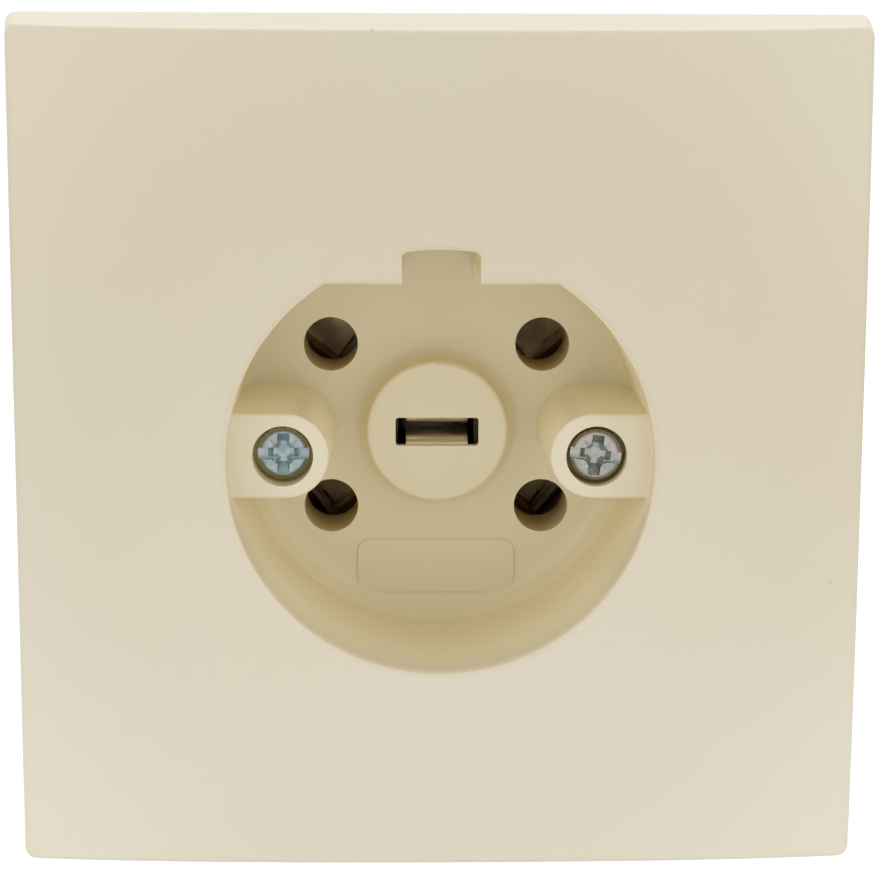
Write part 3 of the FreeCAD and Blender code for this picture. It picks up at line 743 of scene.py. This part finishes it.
def rolled_brass(name, tone, stretch, tarnish):
    """Brass strip or bar: lines along its rolling and brown tarnish in patches."""
    made, tree, shader, point = finish_of(name)
    patches = use_group(tree, "Soft patches", Point=point, Size=4.0 * MM, Contrast=0.15)
    brown = rgba(tone, BROWN_TARNISH)
    base = layered(tree, rgba(tone), patches["Mask"], brown, share=tarnish)
    lines = use_group(tree, "Rolling lines", Point=point, Stretch=stretch)
    base = layered(tree, base, lines["Mask"], rgba(tone, DULL_BRASS), share=0.15)
    put(tree, shader["Base Color"], base)
    shader["Metallic"].default_value = 1.0
    dulled(tree, shader, patches["Mask"], smooth=0.28, dull=0.46)
    bumped(tree, shader, lines["Height"], strength=0.15, distance=0.01 * MM)
    return made


def wear(finish, *names):
    """Put a finish on CAD nodes."""
    for name in names:
        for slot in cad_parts[name].material_slots:
            slot.material = finish


def middle_of(name):
    """Middle of a CAD node's box."""
    low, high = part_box(name)
    return (Vector(low) + Vector(high)) / 2


# operators


class SOCKET_OT_cover(bpy.types.Operator):
    """Finish the cream cover plate."""

    bl_idname = "socket.cover"
    bl_label = "Cover plate"

    def execute(self, context):
        wear(cream_moulding(context.scene.socket_cover), "cover_plate")
        return {"FINISHED"}


class SOCKET_OT_cover_screws(bpy.types.Operator):
    """Finish the two plated cover screws."""

    bl_idname = "socket.cover_screws"
    bl_label = "Cover screws"

    def execute(self, context):
        metal = context.scene.socket_metal
        # Each screw's plating, and the painted light on its drive's walls.
        for side, tone, walls in (
            ("left", metal.zinc_blue, metal.drive_light_blue),
            ("right", metal.zinc_grey, metal.drive_light_grey),
        ):
            name = "cover_screw_" + side
            middle = middle_of(name)
            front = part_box(name)[0][1] - middle.y
            wear(plated_screw("Zinc " + side, tone, walls, middle, front), name)
        return {"FINISHED"}


class SOCKET_OT_ring(bpy.types.Operator):
    """Finish the galvanised support ring and its rivets."""

    bl_idname = "socket.support_ring"
    bl_label = "Support ring and rivets"

    def execute(self, context):
        metal = context.scene.socket_metal
        wear(galvanised_sheet(metal), "support_ring")
        wear(mottled_steel("Rivet steel", metal.rivet, roughness=0.3), "ring_rivets")
        return {"FINISHED"}


class SOCKET_OT_base(bpy.types.Operator):
    """Finish the dark base, its rear cover and that cover's screws."""

    bl_idname = "socket.base"
    bl_label = "Base and rear cover"

    def execute(self, context):
        wear(dark_moulding(context.scene.socket_base), "socket_base", "rear_cover")
        metal = context.scene.socket_metal
        steel = mottled_steel("Rear screw steel", metal.rear_screw, roughness=0.3)
        wear(steel, "rear_cover_screws")
        return {"FINISHED"}


class SOCKET_OT_contacts(bpy.types.Operator):
    """Finish the brass contacts and their spring bands."""

    bl_idname = "socket.contacts"
    bl_label = "Contacts and springs"

    def execute(self, context):
        metal = context.scene.socket_metal
        strip = rolled_brass("Rolled brass", metal.brass, CONTACT_LINES, tarnish=0.45)
        fork = rolled_brass("Pale brass", metal.pale_brass, EARTH_LINES, tarnish=0.25)
        # Painted light: the springs are painted pale to stand in for light deep in the pin
        # holes.
        spring = mottled_steel(
            "Spring steel with painted light", metal.spring, roughness=0.3, metallic=0.4
        )
        wear(strip, *["contact_" + pole for pole in POLES])
        wear(fork, "contact_earth")
        wear(spring, *["spring_" + pole for pole in POLES])
        return {"FINISHED"}


class SOCKET_OT_terminals(bpy.types.Operator):
    """Finish the terminal clamps, their screws and the threaded bushes."""

    bl_idname = "socket.terminals"
    bl_label = "Terminals and bushes"

    def execute(self, context):
        metal = context.scene.socket_metal
        tone = rgba(metal.brass, DRAWN_BRASS)
        bar = rolled_brass("Drawn brass", tone, BAR_LINES, tarnish=0.6)
        screws = mottled_steel(
            "Terminal screw steel", metal.clamp_screw, roughness=0.26
        )
        wear(bar, "thread_bush_left", "thread_bush_right")
        wear(bar, *["terminal_" + pole for pole in POLES])
        wear(screws, *["terminal_screw_" + pole for pole in POLES])
        return {"FINISHED"}


class SOCKET_OT_stage(bpy.types.Operator):
    """Set up the floor, the lamps, the even light and the camera."""

    bl_idname = "socket.stage"
    bl_label = "Stage, lamps and camera"

    def execute(self, context):
        given = context.scene.socket_stage
        context.scene.view_settings.view_transform = "Standard"
        floor(CAD_BOX[0].z - given.floor_drop)
        lamps()
        even_light(context.scene, given.ambient)
        camera(context.scene, given)
        return {"FINISHED"}


def floor(level):
    """A large pale floor that the camera sees as white, with soft shadows on it."""
    mesh = bpy.data.meshes.new("stage_floor")
    shape = bmesh.new()
    bmesh.ops.create_grid(
        shape, x_segments=1, y_segments=1, size=FLOOR_HALF,
        matrix=Matrix.Translation((0, 0, level))
    )
    shape.to_mesh(mesh)
    shape.free()
    made = bpy.data.objects.new("stage_floor", mesh)
    bpy.context.scene.collection.objects.link(made)

    finish, tree, shader, point = finish_of("Pale floor")
    shader["Base Color"].default_value = FLOOR_TONE
    shader["Roughness"].default_value = 0.8
    reach = vectors(tree, "LENGTH", point, output="Value")
    lift = ranged(tree, reach, *GLOW_DISTANCES, *GLOW_STRENGTHS)
    seen = node(tree, "ShaderNodeLightPath").outputs["Is Camera Ray"]
    glow = node(
        tree, "ShaderNodeEmission",
        {"Color": WHITE, "Strength": maths(tree, "MULTIPLY", seen, lift)},
    )
    pale = tree.nodes["Principled BSDF"].outputs["BSDF"]
    both = node(tree, "ShaderNodeAddShader", {0: pale, 1: glow.outputs["Emission"]})
    surface = tree.nodes["Material Output"].inputs["Surface"]
    put(tree, surface, both.outputs["Shader"])
    mesh.materials.append(finish)


def lamps():
    """Large soft lamps that face the part."""
    for name, place, size, power in LAMPS:
        light = bpy.data.lights.new(name, "AREA")
        light.shape = "SQUARE"
        light.size = size
        light.energy = power
        made = bpy.data.objects.new(name, light)
        turn = (-Vector(place)).to_track_quat("-Z", "Y").to_matrix().to_4x4()
        made.matrix_world = Matrix.Translation(place) @ turn
        bpy.context.scene.collection.objects.link(made)


def even_light(scene, strength):
    """White surroundings for the eye, glass and gloss, and an even light for the rest."""
    world = bpy.data.worlds.new("Soft surroundings")
    world.use_nodes = True
    scene.world = world
    tree = world.node_tree
    seen = node(tree, "ShaderNodeLightPath").outputs
    direct = maths(tree, "MAXIMUM", seen["Is Camera Ray"], seen["Is Glossy Ray"])
    direct = maths(tree, "MAXIMUM", direct, seen["Is Transmission Ray"])
    background = tree.nodes["Background"].inputs
    background["Color"].default_value = WHITE
    put(tree, background["Strength"], ranged(tree, direct, 0.0, 1.0, strength, 1.0))


def camera(scene, given):
    """Stand the camera where the photograph was taken."""
    lens = bpy.data.cameras.new("camera")
    lens.lens = given.focal
    lens.clip_start = 1.0 * MM
    made = bpy.data.objects.new("camera", lens)
    pitch, roll, yaw = given.aim
    turn = (
        Matrix.Rotation(yaw, 4, "Z") @ Matrix.Rotation(pitch, 4, "X")
        @ Matrix.Rotation(roll, 4, "Y") @ Matrix.Rotation(math.pi / 2, 4, "X")
    )
    made.matrix_world = Matrix.Translation(given.place) @ turn
    scene.collection.objects.link(made)
    scene.camera = made


STEPS = (
    SOCKET_OT_cover, SOCKET_OT_cover_screws, SOCKET_OT_ring, SOCKET_OT_base,
    SOCKET_OT_contacts, SOCKET_OT_terminals, SOCKET_OT_stage,
)
SETTINGS = (
    ("socket_cover", CoverSettings), ("socket_base", BaseSettings),
    ("socket_metal", MetalSettings), ("socket_stage", StageSettings),
)


class SOCKET_PT_panel(bpy.types.Panel):
    """Sizes, colours and steps of the socket."""

    bl_label = "Socket"
    bl_idname = "SOCKET_PT_panel"
    bl_space_type = "VIEW_3D"
    bl_region_type = "UI"
    bl_category = "Socket"

    def draw(self, context):
        for name, group in SETTINGS:
            box = self.layout.box()
            box.label(text=group.__name__.replace("Settings", ""))
            for key in group.__annotations__:
                box.prop(getattr(context.scene, name), key)
        for step in STEPS:
            self.layout.operator(step.bl_idname)


def register():
    """Register the settings, the steps and the panel."""
    for name, group in SETTINGS:
        bpy.utils.register_class(group)
        setattr(bpy.types.Scene, name, bpy.props.PointerProperty(type=group))
    for step in STEPS:
        bpy.utils.register_class(step)
    bpy.utils.register_class(SOCKET_PT_panel)


def unregister():
    """Take everything out again in the opposite order."""
    bpy.utils.unregister_class(SOCKET_PT_panel)
    for step in reversed(STEPS):
        bpy.utils.unregister_class(step)
    for name, group in reversed(SETTINGS):
        delattr(bpy.types.Scene, name)
        bpy.utils.unregister_class(group)


def main():
    """Register the add-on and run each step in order."""
    register()
    shared_effects()
    for step in STEPS:
        group, call = step.bl_idname.split(".")
        getattr(getattr(bpy.ops, group), call)()


if __name__ == "__main__":
    main()
